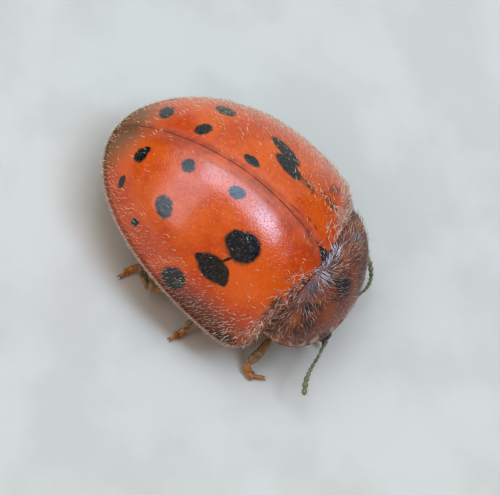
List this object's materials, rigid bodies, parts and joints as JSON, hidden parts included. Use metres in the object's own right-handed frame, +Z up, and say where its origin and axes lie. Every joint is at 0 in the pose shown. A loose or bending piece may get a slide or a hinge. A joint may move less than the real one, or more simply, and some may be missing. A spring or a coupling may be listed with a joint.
{
  "type": "ladybird",
  "caption": "Life-size still model of a small domed ladybird, orange-red with black spots, standing with its head tucked under its shield and one antenna out to the side.",
  "frame": {"origin": "middle of the bottom of the whole beetle, on the floor it stands on", "axes": "+Z up, +Y towards the tail along the body, head at -Y, the beetle's left side at +X"},
  "size_m": [0.0032, 0.0042, 0.0019],
  "materials": {
    "elytra": "glossy orange-red chitin with black spots and short pale hairs",
    "pronotum": "rust-brown chitin under pale hairs, with dark marks",
    "scutellum": "dark chitin",
    "underside": "brown chitin of the thorax and abdomen",
    "head": "rust-brown chitin",
    "eye": "black compound eye",
    "mouthparts": "honey-coloured chitin",
    "antenna": "straw-coloured chitin with a paler club",
    "leg": "translucent honey-coloured chitin with pale hairs",
    "tarsus": "orange chitin"
  },
  "bodies": {
    "root": {"elytron_left": "elytra", "elytron_right": "elytra", "pronotum": "pronotum", "scutellum": "scutellum", "prothorax": "underside", "thorax": "underside", "abdomen": "underside", "head": "head", "eye_left": "eye", "eye_right": "eye", "mouthparts": "mouthparts", "antenna_left": "antenna", "antenna_right": "antenna", "femur_front_left": "leg", "tibia_front_left": "leg", "tarsus_front_left": "tarsus", "femur_front_right": "leg", "tibia_front_right": "leg", "tarsus_front_right": "tarsus", "femur_middle_left": "leg", "tibia_middle_left": "leg", "tarsus_middle_left": "tarsus", "femur_middle_right": "leg", "tibia_middle_right": "leg", "tarsus_middle_right": "tarsus", "femur_hind_left": "leg", "tibia_hind_left": "leg", "tarsus_hind_left": "tarsus", "femur_hind_right": "leg", "tibia_hind_right": "leg", "tarsus_hind_right": "tarsus"}
  },
  "joints": []
}
